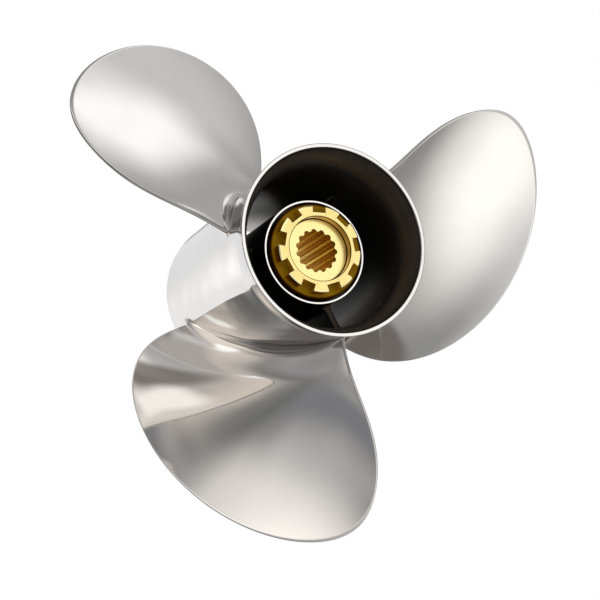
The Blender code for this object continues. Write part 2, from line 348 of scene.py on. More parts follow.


# Inside of the casting: dark, browner where "mouth" says that the rim is near, and lighter where "foot" says
# that the forward end is, a painted light for the light that comes in through the forward opening
def boreMaterial(name, look):
    material, tree, shader, where = newMaterial(name, look)
    stain = useGroup(tree, "stain", {"Where": where, "Patch Scale": look["patchScale"],
                                     "Grain Scale": look["grainScale"]})
    foot = mark(tree, "foot")
    colour = blendColour(tree, mark(tree, "mouth"), look["colour"], look["mouthColour"])
    patches = maths(tree, "MULTIPLY", stain["Patches"], look["patchShare"])
    colour = blendColour(tree, patches, colour, look["patchColour"])
    # painted light: lighter towards the forward opening, where light comes in
    tree.links.new(blendColour(tree, foot, colour, look["footLightColour"]), shader.inputs["Base Color"])
    rough = hazy(tree, stain["Grain"], look, *look["grainBlend"], smooth=True)
    tree.links.new(maths(tree, "MULTIPLY_ADD", foot, look["footHaze"], rough), shader.inputs["Roughness"])
    tree.links.new(blendColour(tree, foot, look["edgeTint"], (1, 1, 1, 1)), shader.inputs["Specular Tint"])
    bump(tree, shader, maths(tree, "MULTIPLY", stain["Grain"], look["grainDepth"]))
    return material


steelLook = {
    "metallic": 1.0, "specular": 0.5,
    "colour": (0.80, 0.795, 0.785, 1), "hazeColour": (0.77, 0.765, 0.755, 1),
    # dark painted line on rounded edges, standing for their reflection of dark surroundings
    "rimShadeColour": (0.13, 0.125, 0.12, 1),
    "roughness": 0.035, "haze": 0.02, "lineHaze": 0.01,
    "hazeScale": 28.0, "lineScale": 260.0, "lineStretch": (1.0, 1.0, 5.0), "waveScale": 26.0,
    "waveDepth": 0.05, "lineDepth": 0.0003,
}
barrelLook = dict(steelLook, waveScale=42.0, waveDepth=0.30, lineStretch=(0.3, 0.3, 4.0))
boreLook = {
    "metallic": 0.7, "specular": 0.5,
    "colour": (0.035, 0.033, 0.031, 1), "mouthColour": (0.17, 0.15, 0.13, 1),
    # the foot colour is painted light near the forward opening
    "footLightColour": (0.58, 0.55, 0.52, 1), "patchColour": (0.060, 0.055, 0.050, 1),
    "patchShare": 0.4, "edgeTint": (0.4, 0.4, 0.4, 1),
    "roughness": 0.24, "haze": 0.03, "footHaze": 0.06,
    "patchScale": 55.0, "grainScale": 420.0, "grainDepth": 0.0008, "grainBlend": (0.3, 0.7),
}
hubLook = dict(boreLook, colour=(0.032, 0.024, 0.018, 1), patchColour=(0.042, 0.034, 0.027, 1),
               edgeTint=(0.2, 0.2, 0.2, 1))
brassLook = {
    "metallic": 1.0, "specular": 0.5,
    "colour": (0.78, 0.655, 0.28, 1), "patchColour": (0.75, 0.61, 0.235, 1),
    # the shade colour below is painted shade for slots, grooves and recessed walls
    "matteColour": (0.95, 0.84, 0.38, 1), "shadeColour": (0.42, 0.16, 0.01, 1),
    # a lighter colour for wear and a painted sheen, and the dark colour of painted lines of shade along edges
    "wearAndSheenColour": (1.0, 0.88, 0.48, 1), "shadeLineColour": (0.06, 0.03, 0.005, 1),
    "roughness": 0.08, "haze": 0.04, "matteHaze": 0.16,
    "patchScale": 110.0, "grainScale": 900.0, "grainDepth": 0.002, "ringScale": 2600.0, "ringDepth": 0.0006,
}
# its shade colour is a painted shade band next to the gap at the hub
flangeLook = dict(brassLook, metallic=0.0, specular=0.0, colour=(0.38, 0.205, 0.009, 1),
                  patchColour=(0.42, 0.23, 0.012, 1), shadeColour=(0.05, 0.018, 0.003, 1), roughness=0.55)
rubberBlack = (0.022, 0.021, 0.020, 1)
rubberLook = {
    "metallic": 0.0, "specular": 0.5,
    "colour": rubberBlack, "mouthColour": rubberBlack, "footLightColour": rubberBlack,
    "patchColour": (0.040, 0.038, 0.036, 1), "patchShare": 0.6, "edgeTint": (1.0, 1.0, 1.0, 1),
    "roughness": 0.62, "haze": 0.15, "footHaze": 0.0,
    "patchScale": 70.0, "grainScale": 1200.0, "grainDepth": 0.02, "grainBlend": (0.3, 0.7),
}
steel = steelMaterial("polished stainless blade", steelLook)
barrelSteel = steelMaterial("polished stainless barrel", barrelLook)
bore = boreMaterial("dark bore", boreLook)
hubWall = boreMaterial("dark hub wall", hubLook)
brass = brassMaterial("brass", brassLook)
flangeBrass = brassMaterial("dull brass", flangeLook)
rubber = boreMaterial("rubber", rubberLook)
print("materials:", len(bpy.data.materials))


# Barrel: the outer tube, with its flared aft lip

barrel = {
    "length": 0.1516,
    "frontRadius": 0.0517,
    "neckRadius": 0.0524,
    "boreRadius": 0.0480,
    "boreFront": 0.0450,                         # the draft of the casting narrows the bore forward
    "rimRadius": 0.05665,
    "rimBore": 0.0545,
    "flare": 0.018,
    "flareRise": 1.8,                            # power of the flare's curve outside
    "boreRise": 1.6,                             # and inside
    "frontEdge": 0.0012,
    "rimEdge": 0.0006,
    "lineCore": 0.3,                             # share of an edge's radius where its painted dark line is darkest
    "frontLine": 0.6,                            # how dark that painted line is in front, against the rim's
    "mouth": 0.036,                              # depth over which the bore darkens
    "lip": (0.0030, 0.0010),                     # depths between which the brown ends in a dark line
    "foot": 0.047,                               # height over which painted light makes it lighter at the forward end
    "boreSlack": 0.0001,                         # how far outside its curve a face of the bore may lie
    "heights": 28,
    "gather": 1.6,                               # power that brings them together in the flare
    "steps": 288,
}


def tubeRadius(z, front, neck, rim, rise):
    flareStart = barrel["length"] - barrel["flare"]
    tube = front + (neck - front) * np.clip(z / flareStart, 0, 1)
    return tube + (rim - neck) * np.clip((z - flareStart) / barrel["flare"], 0, 1) ** rise


def barrelRadius(z):
    return tubeRadius(z, barrel["frontRadius"], barrel["neckRadius"], barrel["rimRadius"],
                      barrel["flareRise"])


def boreRadius(z):
    return tubeRadius(z, barrel["boreFront"], barrel["boreRadius"], barrel["rimBore"], barrel["boreRise"])


def makeBarrel():
    top, edge = barrel["length"], barrel["rimEdge"]
    heights = top * (1 - np.linspace(0, 1, barrel["heights"])[1:-1] ** barrel["gather"])
    corners = [(barrel["rimRadius"], top, edge)]
    corners += [(float(barrelRadius(z)), float(z), 0) for z in heights]
    corners += [(barrel["frontRadius"], 0.0, barrel["frontEdge"]), (barrel["boreFront"], 0.0, edge)]
    corners += [(float(boreRadius(z)), float(z), 0) for z in heights[::-1]]
    corners.append((barrel["rimBore"], top, edge))
    return turned("barrelShell", rounded(corners, edge), barrel["steps"])


shell = makeBarrel()
shell.data.materials.append(barrelSteel)
shell.data.materials.append(bore)
for face in shell.data.polygons:
    x, y, z = face.center
    inwards = face.normal.x * x + face.normal.y * y < 0
    between = barrel["rimEdge"] < z < barrel["length"] - barrel["rimEdge"]
    if inwards and between and math.hypot(x, y) < boreRadius(z) + barrel["boreSlack"]:
        face.material_index = 1
radii, heights = pointPlaces(shell)
depths = barrel["length"] - heights
pointValues(shell, "mouth", ease(barrel["mouth"], 0, depths) * ease(*reversed(barrel["lip"]), depths))
# painted light, lighter towards the forward opening
pointValues(shell, "foot", ease(barrel["foot"], 0, heights))


# One where a rounded edge's corner was, falling to nought over its radius: where the painted dark line along
# that edge lies
def edgeLine(radius, height, edge):
    return ease(edge, barrel["lineCore"] * edge, np.hypot(radii - radius, heights - height))


# painted dark lines on the rim and the forward edge, standing for their reflection of dark surroundings
pointValues(shell, "rim", edgeLine(barrel["rimRadius"], barrel["length"], barrel["rimEdge"])
            + barrel["frontLine"] * edgeLine(barrel["frontRadius"], 0, barrel["frontEdge"]))
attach(shell, "root")
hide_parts("barrel")
print("barrel:", len(shell.data.polygons), "faces")


# Blades: a flat half disc of (across, span) points, which the tree wraps onto the screw surface

blade = {
    "tipRadius": 13.25 * inch / 2 - 0.00003,     # a little less than the solid's
    "rootRadius": 0.0520,
    "lead": 17 * inch * 0.938 / fullTurn,        # rise for each radian, less the share of the cup
    # half chord, skew, height and body from root to tip, as Bezier controls
    "halfChord": [math.radians(a) for a in (40.8, 37.9, 44.9, 36.4, 35.4)],
    "skew": [math.radians(a) for a in (-16.5, -23.5, -15.5, -12.2, 0.0)],
    "height": [0.0712, 0.0764, 0.0966, 0.1212],
    "body": (0.0086, 0.0062, 0.0034, 0.0020),    # thickness at mid chord over that of the edge
    "leadingEdge": 0.0013,
    "trailingEdge": 0.0023,
    "edgeBlend": (-0.7, 0.7),                    # where one edge's thickness turns to the other's
    "tipEdge": 0.6,                              # share of the edge's thickness left at the tip
    "tipBlend": (0.5, 1.0),                      # where along the span it goes
    "camber": 0.0048,
    "rootDish": 0.35,                            # share of the dish left at the root
    "rootRun": 0.17,                             # share of the span over which it grows to its full depth
    "cup": 0.0016,
    "cupPower": 4,                               # how close to the trailing edge the cup curls
    "cupBlend": (-0.3, 0.5),                     # where along the chord it sets in
    "fillet": 0.0065,
    "leadingFillet": 0.0045,
    "trailingFillet": 0.0015,
    "filletPower": 4,                            # how close to the edges it turns to theirs
    "filletTurn": 0.25,                          # share of it over which the edge turns to meet the barrel
    "squareTrailing": 0.45,                      # how square the trailing edge is, 0 for a half round
    "squareBlend": (-0.2, 0.6),                  # where along the chord it becomes so
    "drawnPower": 4,                             # how close to the outline the surface is drawn in
    "rimLine": (0.3, 0.95),                      # where round the edge its painted dark line sets in
    "rimShine": (0.9, 1.0),                      # and where its middle is left without that painted line, shining again
    "shineAcross": (0.0, 0.5),                   # along the trailing edge, where it is wide enough
    "shineSpan": (0.95, 0.6),
    "acrossSteps": 88,
    "gather": 0.86,                              # share of a quarter turn that gathers them towards the edges
    "filletSteps": 12,
    "spanSteps": 64,
    "edgeSteps": 6,
    "sunk": 0.0010,                              # how far the root goes into the wall of the barrel
    "copies": 3,
}
bladeCurves = [("Half Chord", "halfChord"), ("Skew", "skew"), ("Height", "height")]


def bezierNodes(tree, controls, t):
    while len(controls) > 1:
        controls = [maths(tree, "MULTIPLY_ADD", maths(tree, "SUBTRACT", after, before), t, before)
                    for before, after in zip(controls, controls[1:])]
    return controls[0]


def helicalTree():
    controls = [[f"{label} {i + 1}" for i in range(len(blade[key]))] for label, key in bladeCurves]
    labels = ["Root Radius", "Tip Radius", "Lead"] + sum(controls, [])
    tree, given, made = shapeTree("helical blades", [(label, "Float") for label in labels] + roundSockets)
    across, span, lift, outward, along, drop = [
        named(tree, n) for n in ("across", "span", "lift", "outward", "along", "drop")]
    half, skew, height = [bezierNodes(tree, [given[label] for label in row], span) for row in controls]
    length = maths(tree, "SUBTRACT", given["Tip Radius"], given["Root Radius"])
    radius = maths(tree, "ADD", maths(tree, "MULTIPLY_ADD", length, span, given["Root Radius"]), drop)
    turn = maths(tree, "MULTIPLY", across, half)
    pitch = maths(tree, "ARCTAN2", given["Lead"], radius)
    cosine, sine = maths(tree, "COSINE", pitch), maths(tree, "SINE", pitch)
    shift = maths(tree, "SUBTRACT", maths(tree, "MULTIPLY", along, cosine),
                  maths(tree, "MULTIPLY", lift, sine))
    rise = weighted(tree, along, sine, lift, cosine)
    radius = maths(tree, "ADD", radius, outward)
    angle = maths(tree, "ADD", maths(tree, "ADD", skew, turn), maths(tree, "DIVIDE", shift, radius))
    place = wire(tree, "ShaderNodeCombineXYZ", {
        "X": maths(tree, "MULTIPLY", radius, maths(tree, "COSINE", angle)),
        "Y": maths(tree, "MULTIPLY", radius, maths(tree, "SINE", angle)),
        "Z": maths(tree, "ADD", maths(tree, "MULTIPLY_ADD", turn, given["Lead"], height), rise)})
    wrap = wire(tree, "GeometryNodeSetPosition",
                {"Geometry": given["Geometry"], "Position": place.outputs[0]})
    copiesRound(tree, wrap.outputs["Geometry"], given, made)
    return tree


# Radius, angle and height of the screw surface, to seat the root and to know which way the outline faces
def bladeSurface(across, span):
    turn = across * bezier(blade["halfChord"], span)
    radius = blade["rootRadius"] + (blade["tipRadius"] - blade["rootRadius"]) * span
    return radius, bezier(blade["skew"], span) + turn, bezier(blade["height"], span) + blade["lead"] * turn


# Half the thickness, and how far the middle of the section lies forward
def bladeSection(across, span):
    inside = np.clip(1 - across ** 2 - span ** 2, 0, 1)
    trailing = ease(*blade["edgeBlend"], across)
    edge = blade["leadingEdge"] + (blade["trailingEdge"] - blade["leadingEdge"]) * trailing
    edge = edge * (1 - (1 - blade["tipEdge"]) * ease(*blade["tipBlend"], span))
    late = ease(*blade["cupBlend"], across)
    dish = (blade["camber"] + blade["cup"] * (1 - late)) * inside
    dish = dish + blade["cup"] * late * (1 - (1 - inside) ** blade["cupPower"])
    dish = dish * (blade["rootDish"] + (1 - blade["rootDish"]) * ease(0, blade["rootRun"], span))
    return (edge + bezier(blade["body"], span) * inside) / 2, dish


# Rows of across, span and swell from the sunk root through the fillet, then over a squared half disc to the
# tip, and where along the span the fillet ends in each column
def bladeGrid():
    columns = np.sin(np.linspace(-1, 1, blade["acrossSteps"] + 1) * math.pi / 2 * blade["gather"])
    columns /= columns[-1]
    ends = np.where(columns < 0, blade["leadingFillet"], blade["trailingFillet"])
    fillet = ends + (blade["fillet"] - ends) * (1 - np.abs(columns) ** blade["filletPower"])
    top = fillet / (blade["tipRadius"] - blade["rootRadius"])
    rows = [(columns, np.zeros_like(columns), fillet)]
    for turn in np.linspace(math.pi / 2, 0, blade["filletSteps"] + 1):
        y = top * (1 - math.sin(turn))
        rows.append((columns * np.sqrt(1 - y ** 2), y, fillet * (1 - math.cos(turn))))
    for b in np.linspace(0, 1, blade["spanSteps"] + 1)[1:]:
        discY = b * np.sqrt(1 - columns ** 2 / 2)
        y = discY + top * (1 - discY)
        ratio = np.where(discY < 1, (1 - y ** 2) / np.maximum(tiny, 1 - discY ** 2), 1 - top)
        rows.append((columns * math.sqrt(1 - b * b / 2) * np.sqrt(ratio), y, np.zeros_like(columns)))
    across, span, swell = np.array(rows).transpose(1, 0, 2)
    return across, span, swell, top


# The way the outline faces, in the unrolled surface: along the screw and outwards
def outlineFacing(x, y, swell, radius, angle, z):
    pitch = np.arctan2(blade["lead"], radius[1:-1])
    risingOut = np.gradient(radius[1:-1])
    risingRound, risingAft = np.gradient(angle[1:-1]) * radius[1:-1], np.gradient(z[1:-1])
    risingAlong = risingRound * np.cos(pitch) + risingAft * np.sin(pitch)
    size = np.hypot(risingOut, risingAlong)
    faceOut = np.concatenate([[0], -risingAlong / size, [0]])
    faceAlong = np.concatenate([[-1], risingOut / size, [1]])
    flip = np.where(faceAlong * x + faceOut * y < 0, -1, 1)
    fillet = np.where(x < 0, blade["leadingFillet"], blade["trailingFillet"])
    inFillet = ease(0, blade["filletTurn"], swell / fillet)
    return faceAlong * flip * (1 - inFillet) + np.sign(x) * inFillet, faceOut * flip * (1 - inFillet)


# Both sides, the rounded edge between them, and the closed root
def bladeFaces(rowCount, colCount, border):
    def at(side, r, c):
        return side * rowCount * colCount + r * colCount + c

    faces = []
    for r in range(rowCount - 1):
        for c in range(colCount - 1):
            faces.append((at(0, r, c), at(0, r + 1, c), at(0, r + 1, c + 1), at(0, r, c + 1)))
            faces.append((at(1, r, c), at(1, r, c + 1), at(1, r + 1, c + 1), at(1, r + 1, c)))
    rings = [[at(0, r, c) for r, c in border]]
    for k in range(blade["edgeSteps"] - 1):
        start = at(2, 0, 0) + k * len(border)
        rings.append([start + i for i in range(len(border))])
    rings.append([at(1, r, c) for r, c in border])
    for upper, lower in zip(rings, rings[1:]):
        for i in range(len(border) - 1):
            faces.append((upper[i + 1], upper[i], lower[i], lower[i + 1]))
    for c in range(colCount - 1):
        faces.append((at(0, 0, c), at(0, 0, c + 1), at(1, 0, c + 1), at(1, 0, c)))
    faces.append([ring[0] for ring in reversed(rings)])
    faces.append([ring[-1] for ring in rings])
    return faces


def makeBlade():
    across, span, swell, top = bladeGrid()
    half, dish = bladeSection(across, span)
    radius, angle, z = bladeSurface(across, span)
    drop = (barrelRadius(z) - blade["rootRadius"]) * np.clip(1 - span / top, 0, 1)
    drop[0] -= blade["sunk"]

    rowCount, colCount = across.shape
    border = [(r, 0) for r in range(rowCount)]
    border += [(rowCount - 1, c) for c in range(1, colCount)]
    border += [(r, colCount - 1) for r in range(rowCount - 2, -1, -1)]
    rim = tuple(np.array(border).T)
    x, y = across[rim], span[rim]
    faceAlong, faceOut = outlineFacing(x, y, swell[rim], radius[rim], angle[rim], z[rim])

    # the surface is drawn in, most at the outline, so that the rounded edge ends on the outline
    place, rimPlace = np.arctan2(span, across), np.arctan2(y, x)
    order = np.argsort(-rimPlace)[::-1]

    def fromRim(values):
        return np.interp(place, rimPlace[order], values[order])

    inwards = np.clip(across ** 2 + span ** 2, 0, 1) ** blade["drawnPower"] * -fromRim(half[rim])
    outward, along = inwards * fromRim(faceOut), inwards * fromRim(faceAlong)

    reach = (half + swell)[rim]
    square = 1 - blade["squareTrailing"] * ease(*blade["squareBlend"], x)
    bright = ease(*blade["shineAcross"], x) * ease(*blade["shineSpan"], y)
    layers = [dict(across=across, span=span, lift=side * (half + swell) - dish, outward=outward, along=along,
                   drop=drop, rim=np.zeros_like(across)) for side in (1, -1)]
    for turn in np.linspace(0, math.pi, blade["edgeSteps"] + 1)[1:-1]:
        out = reach * math.sin(turn) ** square
        up = reach * np.sign(math.cos(turn)) * abs(math.cos(turn)) ** square
        shine = bright * ease(*blade["rimShine"], math.sin(turn))
        # a painted dark line round the blade's edge, a painted reflection of dark surroundings, left off
        # where its middle shines
        shadeLine = ease(*blade["rimLine"], math.sin(turn)) * (1 - shine)
        layers.append(dict(across=x, span=y, lift=up - dish[rim], outward=outward[rim] + out * faceOut,
                           along=along[rim] + out * faceAlong, drop=drop[rim], rim=shadeLine))

    flat = {key: np.concatenate([layer[key].ravel() for layer in layers]) for key in layers[0]}
    points = np.stack([flat["across"], flat["span"], flat["lift"]], -1)
    piece = meshObject("blades", points, bladeFaces(rowCount, colCount, border), math.pi)
    for key, values in flat.items():
        pointValues(piece, key, values)
    return piece


blades = makeBlade()
bladeValues = {"Root Radius": blade["rootRadius"], "Tip Radius": blade["tipRadius"], "Lead": blade["lead"]}
for label, key in bladeCurves:
    bladeValues.update({f"{label} {i + 1}": value for i, value in enumerate(blade[key])})
applyTree(blades, helicalTree(), bladeValues | roundValues(blade["copies"], 0.0, steel))
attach(blades, "root")
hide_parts("blade_1", "blade_2", "blade_3")
print("blades:", len(blades.data.polygons), "faces")


# Inner hub, the tube that carries the drive, and its ribs

hub = {
    "radius": 0.0312,
    "boreRadius": 0.0275,
    "seatRadius": 0.0299,                        # the wider mouth, where the flange of the drive sits
    "front": 0.0030,
    "aft": 0.1214,
    "seat": 0.1173,
    "edge": 0.00025,
    "frontEdge": 0.0008,
    "ringBand": 0.0006,                          # depth of polished metal behind the end ring
    "steps": 192,
}
rib = {
    "angle": math.radians(31.8),
    "thickness": 0.0042,
    "front": 0.0160,
    "aft": 0.1016,
    "fillet": 0.0030,
    "edge": 0.0009,
    "sunk": 0.0004,
    "steps": 26,
    "copies": 3,
}


def makeHub():
    aft, front, seat = hub["aft"], hub["front"], hub["seat"]
    corners = [(hub["radius"], aft), (hub["radius"], front, hub["frontEdge"]), (hub["boreRadius"], front),
               (hub["boreRadius"], seat), (hub["seatRadius"], seat), (hub["seatRadius"], aft)]
    return turned("innerHub", rounded(corners, hub["edge"]), hub["steps"])


hubTube = makeHub()
hubTube.data.materials.append(barrelSteel)
hubTube.data.materials.append(hubWall)
for face in hubTube.data.polygons:
    if face.center.z < hub["aft"] - hub["ringBand"]:
        face.material_index = 1
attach(hubTube, "root")
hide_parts("inner_hub")


# A rib from wall to wall, swelling into a fillet at each, its outer end shaped to the draft of the bore
def makeRib():
    wallIn, wallOut = hub["radius"], barrel["boreRadius"]
    stations = wallIn + (wallOut - wallIn) * (1 - np.cos(np.linspace(0, math.pi, rib["steps"]))) / 2
    stations[0], stations[-1] = wallIn - rib["sunk"], wallOut + rib["sunk"]
    points, faces = [], []
    for r in stations:
        depth = rib["fillet"] - min(max(r - wallIn, 0), max(wallOut - r, 0))
        swell = rib["fillet"] - math.sqrt(rib["fillet"] ** 2 - depth ** 2) if depth > 0 else 0.0
        half = rib["thickness"] / 2 + swell
        loop = rounded([(half, rib["front"]), (half, rib["aft"]), (-half, rib["aft"]), (-half, rib["front"])],
                       rib["edge"])
        share = (r - wallIn) / (wallOut - wallIn)
        points += [(r + (boreRadius(z) - wallOut) * share, y, z) for y, z in loop]
    count = len(points) // len(stations)
    for i in range(len(stations) - 1):
        for k in range(count):
            m = (k + 1) % count
            faces.append((i * count + k, i * count + m, (i + 1) * count + m, (i + 1) * count + k))
    faces.append(list(range(count))[::-1])
    faces.append([(len(stations) - 1) * count + k for k in range(count)])
    return meshObject("ribs", points, faces)


ribs = applyTree(makeRib(), roundTree, roundValues(rib["copies"], rib["angle"], hubWall))
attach(ribs, "root")
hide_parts("rib_1", "rib_2", "rib_3")
print("inner hub and ribs")


# Drive: splined brass sleeve with lugs, its flange, and the rubber round it

sleeve = {
    "aft": 0.1300,
    "front": 0.0080,
    "lugFoot": 0.1236,
    "radius": 0.0200,
    "lugRadius": 0.0259,
    "lugBevel": (0.0008, 0.0003),                # width and depth
    "slotFloor": 0.0214,
    "slotWidth": 0.0083,
    "slotCorner": 0.0003,
    "lugAngle": math.radians(23.4),
    "lugs": 9,
    "lugSteps": (20, 4, 6),                      # along half a crown, round a corner, down a flank
    "seatRadius": 0.01915,                       # counterbore for the washer under the nut
    "seatDepth": 0.0056,
    "landRadius": 0.0117,
    "grooveCentre": 0.0113,
    "grooveRadius": 0.0016,
    "splines": 15,
    "splineAngle": math.radians(-1.7),
    "splineSteps": (10, 4, 13),                  # along half a land, round its corner, round half a groove
    "taperRadius": 0.0155,
    "taperDepth": 0.0090,
    "taperSteps": 11,
    "aftJoint": 0.0145,                          # circles where the spline sectors end
    "frontJoint": 0.0180,
    "jointWidth": 0.0005,                        # and how far outside them the lug sectors do
    "weld": 0.000002,
    "edge": 0.00014,
    "seatEdge": 0.0004,
    "seatSteps": (3, 4),                         # round the edge at its floor, and at its mouth
    "seatHold": (1.3, 1.5),                      # how far from it the flats and the wall are held, in edges
    "splineEdge": 0.00010,
    "splineCorner": 0.0003,
    "wallShade": 0.7,                            # how dark the painted shade on the counterbore's wall is
    "outerShade": 0.95,                          # and the lugs' outer walls
    # painted shade in the slots, then a painted sheen on their walls
    "slotShade": 0.05,
    "slotSheen": 0.9,
    "brinkWearAndSheen": 0.5,                            # wear and painted sheen below the lugs' bevels
    # painted shade in the spline grooves
    "grooveShade": 0.6,
    "grooveDeep": 0.6,                           # how far down a groove its painted shade is full, in its radii
    # painted sheen on the lands
    "landSheen": 0.8,
    "landBlend": 0.2,                            # share of the groove's painted shade at which the lands' painted sheen ends
}
flange = {
    "radius": 0.0285,
    "bore": 0.0203,
    "aft": 0.1233,
    "thickness": 0.0057,
    "edge": 0.0010,
    "shadeBand": (0.0271, 0.0281),                    # radii between which painted shade darkens the aft face, next to the gap at the hub
    "steps": 160,
}
bushing = {
    "outer": 0.0272,
    "bore": 0.0203,
    "front": 0.0140,
    "aft": 0.1173,
    "edge": 0.0006,
    "groove": (0.0215, 0.0250, 0.0020),          # moulded ring in the front face: inner, outer, depth
    "steps": 160,
}


def quarterTurn(start, corner, end, steps):
    t = np.linspace(0, 1, steps + 1)[1:, None]
    start, corner, end = [np.array(p, float) for p in (start, corner, end)]
    return (1 - t) ** 2 * start + 2 * t * (1 - t) * corner + t * t * end


def straight(start, end, steps):
    t = np.linspace(0, 1, steps + 1)[1:, None]
    return np.array(start) * (1 - t) + np.array(end) * t


def rays(turn):
    return np.stack([np.cos(turn), np.sin(turn)], -1)


def arc(radius, first, last, steps):
    return radius * rays(np.linspace(first, last, steps + 1)[1:])


def mirrored(half):
    return np.concatenate([half, (half * (1, -1))[-2::-1]])


# Outline moved sideways by the given distance, to the left of its run, and towards the shaft at its two ends
def offset(outline, distance):
    run = np.gradient(outline, axis=0)
    left = np.stack([-run[:, 1], run[:, 0]], -1)
    left[[0, -1]] = -outline[[0, -1]]
    return outline + distance * left / np.linalg.norm(left, axis=1)[:, None]


# A lug sector from the middle of one lug to the middle of the next, and the turn of the ray that runs
# inwards from each of its points
def lugOutline(radius):
    half = math.pi / sleeve["lugs"]
    floor, width, corner = sleeve["slotFloor"], sleeve["slotWidth"] / 2, sleeve["slotCorner"]
    crown, bend, flank = sleeve["lugSteps"]
    side = math.sqrt(radius ** 2 - width ** 2)
    first = math.asin((width + corner) / radius)
    run = [arc(radius, -half, -half, 1), arc(radius, -half, -first, crown)]
    run.append(quarterTurn(run[-1][-1], (side, -width), (side - corner, -width), bend))
    run.append(straight(run[-1][-1], (floor + corner, -width), flank))
    run.append(quarterTurn(run[-1][-1], (floor, -width), (floor, corner - width), bend))
    run.append(straight(run[-1][-1], (floor, 0.0), flank))
    foot = math.atan2(width, floor)
    waist = (half + foot) / 2                    # under the flank of the lug the rays fan out
    middle = crown + 2 * (bend + flank)
    stops = [0, crown, middle - flank - bend // 2, middle]
    turn = np.interp(np.arange(middle + 1), stops, [-half, -waist, -foot, 0])
    return mirrored(np.concatenate(run)), np.concatenate([turn, -turn[-2::-1]])


def splineOutline():
    half, land, groove = math.pi / sleeve["splines"], sleeve["landRadius"], sleeve["grooveRadius"]
    corner, centre = sleeve["splineCorner"], sleeve["grooveCentre"]
    landSteps, bend, grooveSteps = sleeve["splineSteps"]
    x = (land ** 2 - groove ** 2 + centre ** 2) / (2 * centre)    # where the groove's circle meets the land's
    y = math.sqrt(land ** 2 - x ** 2)
    bottom = groove * rays(np.linspace(corner / groove - math.atan2(y, x - centre), 0, grooveSteps + 1))
    bottom[:, 0] += centre
    run = [arc(land, -half, -half, 1), arc(land, -half, -math.atan2(y, x) - corner / land, landSteps)]
    run += [quarterTurn(run[-1][-1], (x, -y), bottom[0], bend), bottom[1:]]
    return mirrored(np.concatenate(run))


# A sector between two planes through the shaft, from rings of (outline, height, painted shade, wear and
# painted sheen, painted dark line)
def sectorPiece(name, rings):
    count = len(rings[0][0])
    points = [(x, y, ring[1]) for ring in rings for x, y in ring[0]]
    faces = [(i * count + k, i * count + k + 1, (i + 1) * count + k + 1, (i + 1) * count + k)
             for i in range(len(rings) - 1) for k in range(count - 1)]
    piece = meshObject(name, points, faces)
    for column, layer in ((2, "shade"), (3, "wearAndSheen"), (4, "shadeLine")):
        values = [ring[column] if column < len(ring) else 0 for ring in rings]
        pointValues(piece, layer, [np.broadcast_to(value, count) for value in values])
    floor = sleeve["aft"] - sleeve["seatDepth"]
    pointValues(piece, "matte", [np.full(count, abs(ring[1] - floor) < hair) for ring in rings])
    return piece


def lugSector():
    edge, foot, aft, front = sleeve["edge"], sleeve["lugFoot"], sleeve["aft"], sleeve["front"]
    bevel, drop = sleeve["lugBevel"]
    seat, floor = sleeve["seatRadius"], aft - sleeve["seatDepth"]
    wall, slot = sleeve["wallShade"], sleeve["slotShade"]
    outline, turn = lugOutline(sleeve["lugRadius"])
    onLug = np.linalg.norm(outline, axis=1) > sleeve["lugRadius"] - hair
    # painted shade on the lugs' outer walls, and a painted sheen on the slots' walls
    outer, slotSheen = np.where(onLug, sleeve["outerShade"], slot), np.where(onLug, 0, sleeve["slotSheen"])
    top, brink = [lugOutline(sleeve["lugRadius"] - r)[0] for r in (bevel, bevel * (1 - edge / drop))]

    def circle(radius):
        return radius * rays(turn)

    # the counterbore, from the joint with the splines over its floor and up its wall
    lip = sleeve["seatEdge"]
    flat, upright = [lip * hold for hold in sleeve["seatHold"]]
    floorEdge = quarterTurn((seat - lip, floor), (seat, floor), (seat, floor + lip), sleeve["seatSteps"][0])
    mouthEdge = quarterTurn((seat, aft - lip), (seat, aft), (seat + lip, aft), sleeve["seatSteps"][1])
    # painted shade and a painted dark line round the counterbore's edges, painted shade down its wall
    rings = [(circle(sleeve["aftJoint"] + sleeve["jointWidth"]), floor, 0, 0),
             (circle(seat - flat), floor, 0, 0), (circle(seat - lip), floor, 0, 0, 1)]
    rings += [(circle(r), z, 1, 0, 1) for r, z in floorEdge]
    rings += [(circle(seat), floor + upright, wall, 0), (circle(seat), aft - upright, wall, 0)]
    rings += [(circle(r), z, 1, 0, 1) for r, z in mouthEdge]

    # the lugs, their bevels and walls, and the plain tube forward of them
    rings += [(circle(seat + flat), aft, 0, 0), (offset(top, 2 * edge), aft, 0, 0)]
    # wear and a painted sheen on the lugs' bevels
    rings += [(offset(top, edge), aft, 0, 1), (top, aft, 0, 1), (brink, aft - edge, 0, 1)]
    rings += [(outline, aft - drop, slot, sleeve["brinkWearAndSheen"])]
    rings += [(outline, z, outer, slotSheen) for z in (aft - drop - edge, foot + edge, foot)]
    rings += [(circle(sleeve["radius"]), foot, slot, 0), (circle(sleeve["radius"]), front + edge, 0, 0)]
    rings += [(circle(sleeve["radius"] - edge), front, 0, 1),
              (circle(sleeve["frontJoint"] + sleeve["jointWidth"]), front, 0, 0)]
    return sectorPiece("driveSleeve", rings)


